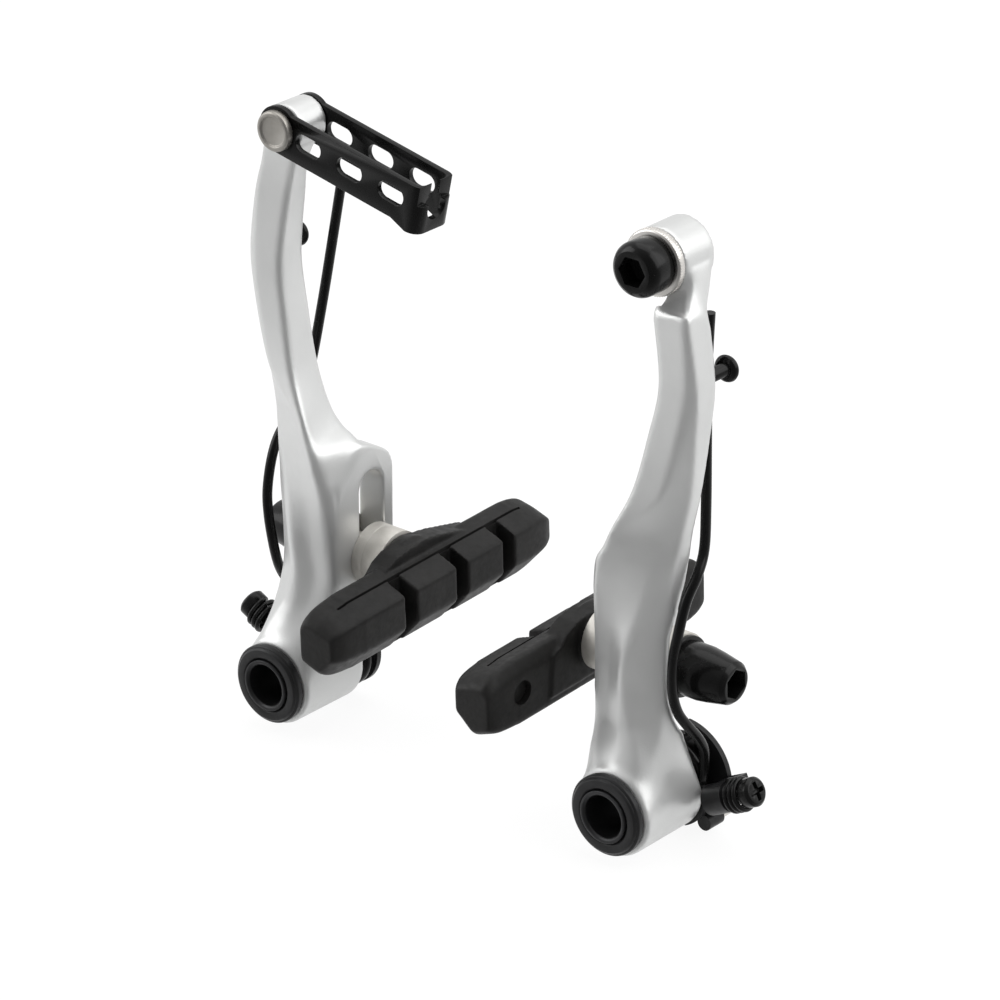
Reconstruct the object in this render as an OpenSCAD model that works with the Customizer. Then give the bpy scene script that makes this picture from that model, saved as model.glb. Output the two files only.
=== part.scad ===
/* [Frame fitting] */
// Distance between the two frame bosses
boss_spacing = 80; // [78:1:92]
// Bore of the pivot bush, which slides over the frame boss
boss_bore_d = 8; // [7.6:0.1:8.4]
/* [Arm] */
// Height of the cable link pin above the pivot
arm_length = 107; // [102:1:114]
// Height of the cable anchor bolt above the pivot
anchor_height = 101; // [97:1:106]
// Diameter of the pivot hub
hub_d = 16.8; // [16.2:0.1:17.4]
// Length of the pivot hub along the pivot
hub_len = 16.4; // [15.6:0.1:17.4]
// Height of the top of the shoe ear above the pivot
ear_top = 42.5; // [41:0.5:45]
// Distance of the ear's inner face from the pivot
ear_face = 9.6; // [9:0.1:10.4]
// Thickness of the ear
ear_t = 6; // [5:0.1:6.6]
// Width of the slot for the shoe post
slot_w = 6.4; // [6.3:0.1:7]
// Height of the slot's lower end
slot_low = 15.6; // [15:0.2:17]
// Height of the slot's upper end
slot_high = 39.6; // [37:0.2:40]
// Diameter of the boss that carries the link pin
link_boss_d = 8.8; // [8:0.1:9.6]
// Diameter of the boss that carries the anchor bolt
anchor_boss_d = 12; // [11:0.1:13]
/* [Pivot] */
// Outside diameter of the pivot bush
bush_d = 10; // [9.6:0.1:10.4]
// Outside diameter of the front dust ring
ring_d = 15.3; // [14:0.1:16]
// Thickness of the front dust ring
ring_t = 2; // [1.6:0.1:2.6]
// Thickness of the spring holder
holder_t = 5; // [4.8:0.1:5.6]
// Outside diameter of the spring holder's wall
holder_d = 17.8; // [17.4:0.1:18.4]
// Side clearance of the turning hub
side_gap = 0.2; // [0.1:0.05:0.4]
/* [Spring] */
// Wire diameter of the return spring
wire_d = 1.9; // [1.6:0.1:2]
// Radius of the spring's coil at the wire's centre
coil_r = 6.6; // [6.4:0.1:6.8]
// Height of the hook pin above the pivot
hook_height = 81; // [76:0.5:84]
// Diameter of the hook pin's head
hook_head_d = 5; // [4:0.1:6]
/* [Shoe] */
// Height of the shoe post above the pivot
shoe_height = 23; // [21:0.5:30]
// Diameter of the shoe post
post_d = 6; // [5.8:0.1:6.2]
// Length of the shoe in front of the post
shoe_front = 29.5; // [28:0.5:36]
// Length of the shoe behind the post
shoe_back = 32; // [28:0.5:36]
// Height of the shoe's carrier
shoe_h = 13.6; // [12.6:0.1:14.4]
// Angle by which the shoe's front end hangs below its back end
shoe_tilt = 2.5; // [0:0.5:6]
// Distance of the shoe's back from the ear's middle plane
shoe_back_x = 9.4; // [9.2:0.1:10]
// Thickness of the shoe from its back to the braking face
shoe_t = 11; // [9:0.1:13]
// Width of a groove across the braking face
groove_w = 3.2; // [1.6:0.1:3.6]
/* [Washers and nut] */
// Diameter of the spherical washers
washer_d = 12; // [11:0.1:12.4]
// Radius of the spherical seats about the slot's centre
seat_r = 8; // [7.8:0.1:8.3]
// Length of the shoe nut
nut_len = 10.8; // [9:0.1:13]
// Diameter of the shoe nut at its outer end
nut_tip_d = 7.8; // [7.4:0.1:8.6]
// Diameter of the shoe nut at its base
nut_base_d = 10; // [9:0.1:10.8]
/* [Cable link] */
// Length of the link from its pin to its end wall
link_len = 33.8; // [31:0.5:38]
// Height of the link's side plates
link_h = 8.8; // [8:0.1:10]
// Thickness of the link's sheet
sheet_t = 1.2; // [1:0.1:1.5]
// Clear width between the link's side plates
link_gap = 7.2; // [6.6:0.1:8]
// Angle by which the link hangs below level
link_droop = 11.8; // [0:0.2:20]
// Diameter of the link pin
link_pin_d = 5; // [4:0.1:5.4]
/* [Cable anchor] */
// Diameter of the anchor bolt's shank
anchor_d = 5; // [5:0.1:6]
// Diameter of the anchor bolt's head
anchor_head_d = 10; // [9:0.1:11]
// Height of the anchor bolt's head
anchor_head_h = 5.4; // [4:0.1:6]
// Thickness of the anchor washer
anchor_washer_t = 1.8; // [1.4:0.1:2.4]

/* [Hidden] */

// Radial clearance of parts that turn or slide in each other
fit = 0.05;
// Small overshoot of a cutter past the face it cuts
cut = 0.5;
// Depths along the pivot, from the frame's seat at zero forwards (towards -Y)
hub_back_y = -holder_t - side_gap;
hub_front_y = hub_back_y - hub_len;
ring_back_y = hub_front_y - side_gap;
ring_front_y = ring_back_y - ring_t;
bush_front_y = ring_front_y - 0.3;
hub_r = hub_d / 2;
// The shoe post's place in depth, and the middle plane of the ear
post_y = hub_back_y + 0.8;
ear_mid_x = ear_face - ear_t / 2;
ear_outer_x = ear_face - ear_t;
ear_front_y = ring_front_y + 9.1;
ear_back_y = post_y + 6.1;
// The link boss and the anchor boss
boss_x = -0.4;
link_boss_front_y = ring_front_y + 8;
link_boss_len = link_gap - 0.3;
anchor_boss_front_y = ring_front_y + 13;
anchor_boss_len = 8;

// One point of a corner that is rounded by a quadratic curve
function corner(a, p, b, r, k) =
    let (ta = min(0.45, r / max(norm(a - p), 0.01)), tb = min(0.45, r / max(norm(b - p), 0.01)),
         s = p + (a - p) * ta, e = p + (b - p) * tb)
    s * (1 - k) * (1 - k) + p * 2 * k * (1 - k) + e * k * k;
// A closed outline with every corner rounded, three points to a corner
function rounded(pts, radii) =
    [for (j = [0 : len(pts) - 1], k = [0, 0.5, 1])
        corner(pts[(j + len(pts) - 1) % len(pts)], pts[j], pts[(j + 1) % len(pts)], radii[j], k)];
// A smooth curve through four values, at share t between the middle two
function smooth(a, b, c, d, t) =
    0.5 * (2 * b + (c - a) * t + (2 * a - 5 * b + 4 * c - d) * t * t + (3 * b - a - 3 * c + d) * t * t * t);
function clamped(list, i) = list[max(0, min(len(list) - 1, i))];
// Rows between the given ones, so that a loft flows through them
function refined(rows, steps) =
    [for (i = [0 : len(rows) - 2], s = [0 : steps - 1])
        smooth(clamped(rows, i - 1), rows[i], rows[i + 1], clamped(rows, i + 2), s / steps),
     rows[len(rows) - 1]];
// A solid through rings of points that all have the same count, closed by flat caps
module loft(rings) {
    n = len(rings[0]);
    last = len(rings) - 1;
    polyhedron(
        points = [for (ring = rings) each ring],
        faces = [
            [for (i = [0 : n - 1]) i],
            [for (i = [0 : n - 1]) last * n + n - 1 - i],
            for (r = [0 : last - 1], i = [0 : n - 1])
                each [[r * n + i, (r + 1) * n + (i + 1) % n, r * n + (i + 1) % n],
                      [r * n + i, (r + 1) * n + i, (r + 1) * n + (i + 1) % n]]
        ],
        convexity = 6);
}
// A round bar along Y, from y0 to y1
module bar_y(d, y0, y1, fn = 48) {
    translate([0, y1, 0]) rotate([90, 0, 0]) cylinder(d = d, h = y1 - y0, $fn = fn);
}
// A round bar along X, from x0 to x1
module bar_x(d, x0, x1, fn = 48) {
    translate([x0, 0, 0]) rotate([0, 90, 0]) cylinder(d = d, h = x1 - x0, $fn = fn);
}
// An upright slot along X, with round ends at heights z0 and z1
module slot_x(w, z0, z1, x0, x1) {
    for (z = [z0 + w / 2, z1 - w / 2]) translate([0, 0, z]) bar_x(w, x0, x1);
    translate([x0, -w / 2, z0 + w / 2]) cube([x1 - x0, w, z1 - z0 - w]);
}
// Each side is drawn as the left one, with +X inwards, and the right one is its mirror image
module left_side() { translate([-boss_spacing / 2, 0, 0]) children(); }
module right_side() { translate([boss_spacing / 2, 0, 0]) mirror([1, 0, 0]) children(); }

// The arm's sections. Heights are shares: 0 to 1 from the pivot to the top of the ear, and
// 1 to 2 from there to the arm's full height. Each section has seven corners in the order: outer back,
// outer crease, ridge, band edge, front edge, inner crease, inner back, each as [x, depth]
// with the depth measured behind the ring's front face.
arm_rows = [
    [0.05, [-7.6, 16.0], [-7.8, 4.0], [-4.0, 2.7], [0.0, 2.5], [4.0, 2.7], [8.0, 3.6], [7.8, 16.0]],
    [0.16, [-7.6, 15.6], [-7.5, 5.0], [-4.0, 3.4], [0.5, 3.1], [4.6, 3.4], [8.6, 4.8], [7.8, 15.6]],
    [0.26, [-7.0, 13.8], [-6.6, 8.2], [-3.0, 6.6], [1.6, 6.0], [5.4, 6.2], [9.1, 7.2], [7.6, 14.0]],
    [0.38, [-6.2, 12.2], [-5.5, 9.6], [-1.8, 8.7], [2.2, 8.0], [6.2, 7.7], [9.5, 8.6], [6.0, 12.0]],
    [0.51, [-5.5, 11.7], [-4.6, 9.9], [0.4, 9.5], [3.6, 8.7], [7.0, 7.8], [9.5, 8.7], [4.6, 11.6]],
    [0.64, [-5.6, 11.6], [-4.4, 10.0], [2.4, 9.7], [5.0, 8.6], [7.9, 7.4], [9.5, 8.6], [4.2, 11.6]],
    [0.76, [-5.8, 11.7], [-4.4, 9.9], [1.2, 9.7], [4.6, 8.2], [8.2, 7.0], [9.5, 8.5], [4.2, 11.6]],
    [0.86, [-6.6, 12.3], [-4.9, 10.3], [-0.4, 9.9], [4.0, 7.8], [8.0, 6.4], [9.5, 8.4], [5.0, 12.6]],
    [0.95, [-6.8, 13.6], [-5.5, 10.8], [-2.8, 10.3], [3.4, 7.4], [7.6, 5.9], [9.2, 7.8], [7.4, 18.0]],
    [1.04, [-7.0, 14.8], [-6.0, 11.2], [-4.6, 10.6], [2.8, 7.2], [6.9, 5.5], [8.1, 6.8], [7.6, 17.4]],
    [1.15, [-7.6, 15.4], [-7.3, 12.0], [-6.0, 11.4], [1.6, 7.7], [3.9, 6.4], [4.6, 7.1], [4.6, 15.8]],
    [1.27, [-8.9, 15.9], [-9.0, 12.2], [-8.0, 11.3], [-5.0, 8.2], [0.3, 7.6], [1.0, 8.3], [0.9, 15.6]],
    [1.43, [-10.2, 16.2], [-10.5, 11.2], [-9.9, 10.6], [-7.9, 8.6], [-1.9, 8.6], [-1.2, 9.3], [-1.6, 15.9]],
    [1.585, [-11, 16.4], [-11.2, 10.4], [-10.7, 10], [-9.2, 9.2], [-3.7, 9.4], [-3, 10.1], [-3.4, 16.4]],
    [1.77, [-9.5, 16.4], [-9.5, 10.1], [-9.1, 9.8], [-8.3, 9.5], [-2.0, 9.8], [-1.3, 10.6], [-2.3, 16.4]]];
// The left arm's top runs into the boss of the link pin
link_top_rows = [
    [1.88, [-7.6, 14.9], [-7.4, 10.0], [-7.2, 9.7], [-6.8, 9.4], [0.0, 9.4], [0.7, 10.0], [0.0, 14.8]],
    [1.97, [-5.4, 14.8], [-5.4, 8.9], [-5.3, 8.7], [-5.0, 8.5], [2.4, 8.5], [2.9, 8.9], [2.6, 14.8]]];
// The right arm's top steps back to the boss of the anchor bolt
anchor_top_rows = [
    [1.80, [-8.9, 17.6], [-8.7, 11.6], [-8.5, 11.3], [-8.1, 11.0], [-1.2, 11.0], [-0.6, 11.6], [-1.4, 17.4]],
    [1.85, [-7.4, 19.6], [-7.3, 14.2], [-7.1, 13.9], [-6.8, 13.6], [2.6, 13.6], [3.0, 14.2], [2.4, 19.4]],
    [1.90, [-6.0, 20.4], [-6.0, 14.4], [-5.8, 14.0], [-5.4, 13.7], [4.2, 13.7], [4.6, 14.2], [4.2, 20.2]]];
corner_r = [1.2, 0.6, 0.9, 0.8, 0.6, 0.8, 1.2];
function height(share, full) =
    share <= 1 ? share * ear_top : ear_top + (share - 1) * (full - ear_top);
function section(row, full) =
    [for (p = rounded([for (i = [1 : 7]) row[i]], corner_r))
        [p[0], ring_front_y + p[1], height(row[0], full)]];
module arm_body(rows, full) {
    loft([for (row = refined(rows, 3)) section(row, full)]);
}
// The upright plate that carries the shoe, with its slot still uncut
module ear() {
    top = ear_top;
    back = ear_back_y;
    translate([ear_outer_x, 0, 0]) rotate([90, 0, 90]) linear_extrude(height = ear_t)
        polygon([[ear_front_y, 9], [hub_back_y - 8, 7], [hub_back_y - 0.6, 7.6], [back - 3.6, 10.6],
                 [back - 1.4, 11.8], [back - 0.3, 13.4], [back, 15.4], [back, top - 4],
                 [back - 0.3, top - 2.4], [back - 1.1, top - 0.8], [back - 2.4, top + 0.3],
                 [back - 5, top + 1.6], [back - 8.6, top + 3.2], [ear_front_y + 3.2, top + 4.6],
                 [ear_front_y, top + 2]]);
}
module hub() {
    edge = 1.2;
    translate([0, hub_back_y, 0]) rotate([90, 0, 0]) rotate_extrude($fn = 64)
        polygon([[0, 0], [hub_r - edge, 0], [hub_r - 0.35 * edge, 0.35 * edge], [hub_r, edge],
                 [hub_r, hub_len - 0.4], [hub_r - 0.4, hub_len], [0, hub_len]]);
}
// Everything that both arms share, from the hub to below the top boss
module arm_blank(top_rows, full) {
    arm_body(concat(arm_rows, top_rows), full);
    ear();
    hub();
}
module arm_cuts() {
    bar_y(bush_d + 2 * fit, hub_front_y - cut, hub_back_y + cut, 64);
    translate([0, post_y, 0]) slot_x(slot_w, slot_low, slot_high, ear_outer_x - 8, ear_face + cut);
    pocket_w = washer_d + 0.8;
    nut_w = nut_base_d + 1.6;
    reach = (washer_d + 0.8 - slot_w) / 2;
    translate([0, post_y, 0])
        slot_x(pocket_w, slot_low - reach, slot_high + reach, ear_outer_x - 7, ear_outer_x);
    translate([0, post_y, 0])
        slot_x(nut_w, slot_low - reach + 0.9, slot_high + reach - 0.9, ear_outer_x - 20, ear_outer_x - 6.9);
    translate([hook_x, 0, hook_height]) bar_y(hook_d + 2 * fit, hook_y - 3, hook_y + 6);
}
module left_arm() {
    color("silver") left_side() difference() {
        union() {
            arm_blank(link_top_rows, arm_length);
            translate([boss_x, 0, arm_length])
                bar_y(link_boss_d, link_boss_front_y, link_boss_front_y + link_boss_len, 64);
        }
        arm_cuts();
        translate([boss_x, 0, arm_length])
            bar_y(link_pin_d + 2 * fit, link_boss_front_y - cut, link_boss_front_y + link_boss_len + cut);
    }
}
module right_arm() {
    color("silver") right_side() difference() {
        union() {
            arm_blank(anchor_top_rows, anchor_height + anchor_boss_d / 2);
            translate([boss_x, 0, anchor_height])
                bar_y(anchor_boss_d, anchor_boss_front_y, anchor_boss_front_y + anchor_boss_len, 64);
        }
        arm_cuts();
        translate([boss_x, anchor_boss_front_y, anchor_height]) {
            // Spot face under the anchor washer
            bar_y(anchor_washer_d + 0.8, -6, 0, 64);
            bar_y(anchor_d + 2 * fit, -cut, anchor_boss_len + cut);
        }
    }
}

// Pivot bush: a steel tube from the frame's seat to just past the front ring
module bush() {
    chamfer = 0.4;
    color("lightgray") rotate([90, 0, 0]) rotate_extrude($fn = 64)
        polygon([[boss_bore_d / 2, 0], [bush_d / 2, 0], [bush_d / 2, -bush_front_y],
                 [boss_bore_d / 2 + chamfer, -bush_front_y], [boss_bore_d / 2, -bush_front_y - chamfer]]);
}
module front_ring() {
    edge = 0.5;
    color("dimgray") translate([0, ring_back_y, 0]) rotate([90, 0, 0]) rotate_extrude($fn = 64)
        polygon([[bush_d / 2 + fit, 0], [ring_d / 2, 0], [ring_d / 2, ring_t - edge],
                 [ring_d / 2 - edge, ring_t], [bush_d / 2 + fit, ring_t]]);
}

// Spring holder: a floor against the frame with a wall and a wing on its outer side
holder_floor = 1.1;
wing_r = 10.3;
lug_angle = 27;
lug_x = -12.6;
lug_y = -6;
lug_z = 0.9;
screw_d = 3;
module holder_wing() {
    // The wing is a flat plate that reaches from the top round the outer side
    rotate([90, 0, 0]) linear_extrude(height = holder_floor) difference() {
        circle(wing_r, $fn = 64);
        circle(coil_r, $fn = 64);
        polygon([[0, 0], [-1, 20], [20, 20], [20, -20], [-9, -20]]);
    }
}
module holder_wall() {
    // The wall stands round the outer side only, so that the coil is in view on the inner side
    wall = 1;
    rotate([90, 0, 0]) linear_extrude(height = holder_t) difference() {
        circle(d = holder_d, $fn = 64);
        circle(r = holder_d / 2 - wall, $fn = 64);
        polygon([[0, 0], [-6, 20], [20, 20], [20, -20], [-9, -20]]);
    }
}
module adjuster_axis() {
    translate([lug_x, lug_y, lug_z]) rotate([0, -90 + lug_angle, 0]) children();
}
module spring_holder() {
    color("black") difference() {
        union() {
            bar_y(2 * coil_r + wire_d, -holder_floor, 0, 64);
            difference() {
                holder_wall();
                // Window for the wire, from just below level to well above it
                rotate([90, 0, 0]) translate([0, 0, holder_floor]) linear_extrude(height = holder_t)
                    polygon([[0, 0], [-14, -3.4], [-14, 14], [-4.4, 14]]);
            }
            holder_wing();
            // Lug that carries the screw, on a foot that grows out of the wing
            adjuster_axis() {
                translate([0, 0, -2.6]) cylinder(d = 5.6, h = 4.6, $fn = 32);
                translate([-2.2, 0, -2.6]) cube([4.4, -lug_y, 4.6]);
                translate([-2.2, -lug_y - holder_floor, -5]) cube([4.4, holder_floor, 5]);
            }
            // Stop nose below the lug
            translate([-7.2, 0, -6.8]) bar_y(3, -holder_t + 1, 0, 32);
        }
        bar_y(bush_d + 2 * fit, -holder_t - cut, cut, 64);
        adjuster_axis() translate([0, 0, -4]) cylinder(d = screw_d + 2 * fit, h = 9, $fn = 32);
    }
}
// Stopper pin: sits in the holder's nose and enters the frame's boss plate
pin_reach = 3.4;
module stopper_pin() {
    color("silver") translate([-7.2, 0, -6.8]) bar_y(1.8, 0, pin_reach, 32);
}

// Adjuster: a cross-head screw pressed out by a small coil
coil_len = 4.2;
coil_seat = 2.05;
head_len = 2.4;
head_d = 5.4;
module adjuster_screw() {
    color("dimgray") adjuster_axis() {
        difference() {
            union() {
                translate([0, 0, -1.4]) cylinder(d = screw_d, h = 1.4 + coil_seat + coil_len, $fn = 32);
                translate([0, 0, coil_seat + coil_len])
                    rotate_extrude($fn = 48) polygon([[0, 0], [head_d / 2, 0], [head_d / 2, head_len - 0.6],
                        [head_d / 2 - 0.5, head_len - 0.1], [0, head_len]]);
            }
            for (a = [0, 90]) translate([0, 0, coil_seat + coil_len + head_len]) rotate([0, 0, a])
                cube([3.4, 0.9, 2.4], center = true);
        }
    }
}
// A tube with flat ends through a list of points, its rings square to the path
function unit(v) = v / max(norm(v), 1e-6);
function heading(path, i) = unit(clamped(path, i + 1) - clamped(path, i - 1));
function across(h) = unit(cross(h, [0.31, 0.12, 0.94]));
module tube(path, d, sides) {
    loft([for (i = [0 : len(path) - 1])
        let (h = heading(path, i), u = across(h), v = cross(h, u))
        [for (k = [0 : sides - 1], a = 360 * k / sides) path[i] + d / 2 * (u * cos(a) + v * sin(a))]]);
}
// A tube whose rings are turned about the Z axis, for a coil
module helix(r, d, turns, pitch, sides, steps) {
    loft([for (i = [0 : steps * turns])
        let (a = 360 * i / steps, c = [r * cos(a), r * sin(a), pitch * i / steps],
             out = [cos(a), sin(a), 0])
        [for (k = [0 : sides - 1])
            c + d / 2 * (out * cos(360 * k / sides) - [0, 0, 1] * sin(360 * k / sides))]]);
}
module adjuster_coil() {
    coil_wire = 1;
    turns = 3;
    color("dimgray") adjuster_axis() translate([0, 0, coil_seat + coil_wire / 2 + 0.02])
        helix(2.8, coil_wire, turns, (coil_len - coil_wire - 0.04) / turns, 8, 16);
}

// Return spring: one turn round the bush inside the cup, then the long leg up the arm
hook_x = -9.2;
hook_y = ring_front_y + 16;
hook_d = 2.4;
coil_steps = 16;
coil_y0 = -holder_floor - wire_d / 2 - 0.05;
coil_rise = holder_t - holder_floor - wire_d - 0.1;
coil_path = [for (i = [0 : coil_steps])
    let (a = 180 + 360 * (1 - i / coil_steps))
    [coil_r * cos(a), coil_y0 - coil_rise * i / coil_steps, -coil_r * sin(a)]];
// The leg's points as [x, depth behind the ring's front face, height]
leg_low = [[-7.0, 19.7, 4], [-7.6, 18.9, 8], [-7.8, 16.9, 11.4], [-7.5, 14.0, 15],
           [-7.0, 11.8, 18.4], [-6.9, 10.4, 23], [-7.4, 9.8, 29], [-8.0, 10.3, 34],
           [-8.3, 12.1, 40], [-8.5, 14.8, 44]];
leg_hooked = [[-7.8, 17.6, 48], [-7.4, 18.4, 56], [-7.1, 18.6, 68], [-6.8, 18.8, 81],
              [-7.2, 18.8, 91.5]];
leg_loose = [[-7.2, 17.8, 48], [-5.2, 19.4, 56], [-3.7, 21.2, 68], [-2.4, 23.0, 81],
             [-1.4, 24.4, 91.5]];
module return_spring(leg_high) {
    leg = [for (p = concat(leg_low, leg_high)) [p[0], ring_front_y + p[1], p[2]]];
    color("black") tube(concat(coil_path, refined(leg, 2)), wire_d, 8);
}
module hook_pin() {
    head_t = 1.8;
    pin_len = 6;
    color("black") translate([hook_x, hook_y, hook_height]) {
        bar_y(hook_d, -2.5, pin_len - head_t + 0.2, 32);
        translate([0, pin_len, 0]) rotate([90, 0, 0]) rotate_extrude($fn = 48)
            polygon([[0, 0], [hook_head_d / 2 - 0.8, 0], [hook_head_d / 2 - 0.2, 0.4],
                     [hook_head_d / 2, 0.9], [hook_head_d / 2 - 0.2, 1.4],
                     [hook_head_d / 2 - 0.8, head_t], [0, head_t]]);
    }
}

// The shoe's own frame: its post's axis runs along X through the ear's middle plane
module shoe_place() {
    translate([ear_mid_x, post_y, shoe_height]) rotate([shoe_tilt, 0, 0]) children();
}
hole_slack = 0.45;
module dome() {
    // Flat against the ear, with a spherical back about the post's centre
    intersection() {
        difference() {
            bar_x(washer_d, ear_t / 2, seat_r + 1, 64);
            bar_x(post_d + 2 * hole_slack, 0, seat_r + 2);
        }
        sphere(seat_r, $fn = 96);
    }
}
module cup(face) {
    difference() {
        bar_x(washer_d, seat_r * 0.6, face, 64);
        bar_x(post_d + 2 * fit, 0, face + 1);
        sphere(seat_r + fit, $fn = 96);
    }
}
outer_cup_face = seat_r + 0.8;
flat_washer_t = 1;
nut_base_x = outer_cup_face + flat_washer_t;
module inner_dome() { color("lightgray") shoe_place() dome(); }
module inner_cup() { color("lightgray") shoe_place() cup(shoe_back_x); }
module outer_dome() { color("lightgray") shoe_place() mirror([1, 0, 0]) dome(); }
module outer_cup() { color("lightgray") shoe_place() mirror([1, 0, 0]) cup(outer_cup_face); }
module flat_washer() {
    color("dimgray") shoe_place() mirror([1, 0, 0]) difference() {
        bar_x(washer_d - 0.6, outer_cup_face, nut_base_x, 64);
        bar_x(post_d + 2 * fit, outer_cup_face - 1, nut_base_x + 1);
    }
}
module shoe_nut() {
    hex_w = 5;
    color("black") shoe_place() mirror([1, 0, 0]) difference() {
        rotate([0, 90, 0]) rotate_extrude($fn = 64)
            polygon([[0, nut_base_x], [nut_base_d / 2, nut_base_x], [nut_base_d / 2, nut_base_x + 4],
                     [nut_base_d / 2 - 0.3, nut_base_x + 6.2],
                     [nut_tip_d / 2 + 0.1, nut_base_x + nut_len - 0.8],
                     [nut_tip_d / 2 - 0.6, nut_base_x + nut_len], [0, nut_base_x + nut_len]]);
        bar_x(post_d + 2 * fit, nut_base_x - 1, nut_base_x + 6.2);
        translate([nut_base_x + 6, 0, 0]) rotate([0, 90, 0])
            cylinder(d = hex_w / cos(30), h = nut_len, $fn = 6);
    }
}
plate_t = 1.6;
plate_h = 6;
plate_x = shoe_back_x + 3.4;
plate_z = -5.2;
module shoe_post() {
    color("lightgray") shoe_place() {
        bar_x(post_d, -nut_base_x - 5.6, plate_x + plate_t, 48);
        translate([plate_x, -16, plate_z]) cube([plate_t, 32, plate_h]);
    }
}
// The shoe's section as [distance from its back, height], from the lower back round the top
pad_drop = 4.2;
face_h = 6.6;
bevel_h = 1.8;
pad_x = shoe_back_x + shoe_t;
carrier_x = shoe_back_x + 1.2;
lip_x = pad_x - 4.6;
top_z = shoe_h / 2 - pad_drop;
low_z = -shoe_h / 2 - pad_drop;
pad_outline = [[carrier_x, low_z + 2.2], [carrier_x, top_z - 1.4], [carrier_x + 1.6, top_z + 0.8],
               [lip_x, top_z], [pad_x, top_z - bevel_h], [pad_x, top_z - bevel_h - face_h],
               [lip_x, low_z]];
// Shares of the section along the shoe: [y, pull towards the face's middle, shift in depth]
pad_rows = [[-shoe_front, 0.6, 0.4], [-shoe_front + 1, 0.76, 0.3], [-shoe_front + 3.2, 0.9, 0.1],
            [-shoe_front + 7.5, 0.98, 0], [-shoe_front + 12, 1, 0], [shoe_back - 12, 1, 0],
            [shoe_back - 6, 0.98, 0], [shoe_back - 2.6, 0.88, 0.1], [shoe_back - 0.8, 0.72, 0.3],
            [shoe_back, 0.6, 0.4]];
// The carrier rises to the post's boss in a hump, drawn as [y, z]
hump = [[-13.5, -7], [-12.5, 1], [-10.4, 2], [-8.4, 3.8], [-6, 4.9], [-2, 5.5], [2, 5.5],
        [6, 4.8], [16, 2.2], [16, -7]];
function pad_ring(row) =
    [for (p = rounded(pad_outline, [1, 1, 0.8, 0.5, 0.6, 0.8, 1]))
        [pad_x - 5 + (p[0] - pad_x + 5) * (0.4 + 0.6 * row[1]) - row[2],
         row[0], -pad_drop + (p[1] + pad_drop) * row[1]]];
module shoe_pad() {
    boss_r = 5.6;
    color("#2b2b2b") shoe_place() difference() {
        union() {
            loft([for (row = pad_rows) pad_ring(row)]);
            translate([carrier_x - 0.4, 0, 0]) rotate([90, 0, 90])
                linear_extrude(height = lip_x - carrier_x - 0.8) polygon(hump);
            rotate([0, 90, 0]) rotate_extrude($fn = 64)
                polygon([[0, shoe_back_x], [boss_r - 0.4, shoe_back_x], [boss_r, shoe_back_x + 0.4],
                         [boss_r + 0.5, shoe_back_x + 3.4], [0, shoe_back_x + 5]]);
        }
        bar_x(post_d, shoe_back_x - 1, plate_x + plate_t, 48);
        translate([plate_x, -16, plate_z]) cube([plate_t, 32, plate_h]);
        // Round recess in the back, near the front end
        translate([0, 8.7 - shoe_front, -2.8]) bar_x(4.6, shoe_back_x - 1, carrier_x + 1.2, 32);
        for (y = [-9.1, 5.2, 18.4]) translate([lip_x, y - groove_w / 2, low_z - 1])
            cube([8, groove_w, shoe_h + 2]);
    }
}

// Cable link: a folded sheet with two slotted side plates and an end wall
link_front_y = link_boss_front_y - 0.15 - sheet_t;
link_w = link_gap + 2 * sheet_t;
module link_place() {
    translate([-boss_spacing / 2 + boss_x, 0, arm_length]) rotate([0, link_droop, 0]) children();
}
module link_plan() {
    bend = 2.4;
    x0 = -link_h / 2;
    difference() {
        union() {
            translate([x0, 0]) square([link_len - bend - x0, link_w]);
            translate([0, bend]) square([link_len, link_w - 2 * bend]);
            for (y = [bend, link_w - bend]) translate([link_len - bend, y]) circle(bend, $fn = 32);
        }
        translate([x0 - 1, sheet_t]) square([link_len - bend - x0 + 1, link_gap]);
        translate([0, bend]) square([link_len - sheet_t, link_w - 2 * bend]);
        for (y = [bend, link_w - bend]) translate([link_len - bend, y])
            circle(bend - sheet_t, $fn = 32);
    }
}
module link_side() {
    circle(link_h / 2, $fn = 48);
    translate([0, -link_h / 2]) square([link_len - 1, link_h - 0.7]);
    polygon([[link_len - 6, 0], [link_len - 6, -link_h / 2], [link_len - 2.6, -link_h / 2 - 1.1],
             [link_len + 1, -link_h / 2 - 1.1], [link_len + 1, 0]]);
}
module slot_xz(l, w, d) {
    for (x = [-(l - w) / 2, (l - w) / 2]) translate([x, 0, 0]) bar_y(w, -d, d, 32);
    translate([-(l - w) / 2, -d, -w / 2]) cube([l - w, 2 * d, w]);
}
module cable_link() {
    slot_pitch = 9.8;
    slot_first = 7.3;
    notch_x = link_len - sheet_t / 2;
    link_back_y = link_front_y + link_w;
    color("black") link_place() difference() {
        intersection() {
            translate([0, link_front_y, -link_h]) linear_extrude(height = 2 * link_h) link_plan();
            translate([0, link_back_y + cut, 0]) rotate([90, 0, 0])
                linear_extrude(height = link_w + 2 * cut) link_side();
        }
        bar_y(link_pin_d + 2 * fit, link_front_y - cut, link_back_y + cut, 48);
        for (i = [0 : 2]) translate([slot_first + i * slot_pitch, 0, 0]) slot_xz(6, 3.4, link_len);
        // Keyhole in the end wall for the cable pipe's nose
        translate([0, link_front_y + link_w / 2, -1]) bar_x(4.6, notch_x - 3, notch_x + 3, 32);
        translate([notch_x - 3, link_front_y + link_w / 2 - 1.1, -1]) cube([6, 2.2, 10]);
    }
}
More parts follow.
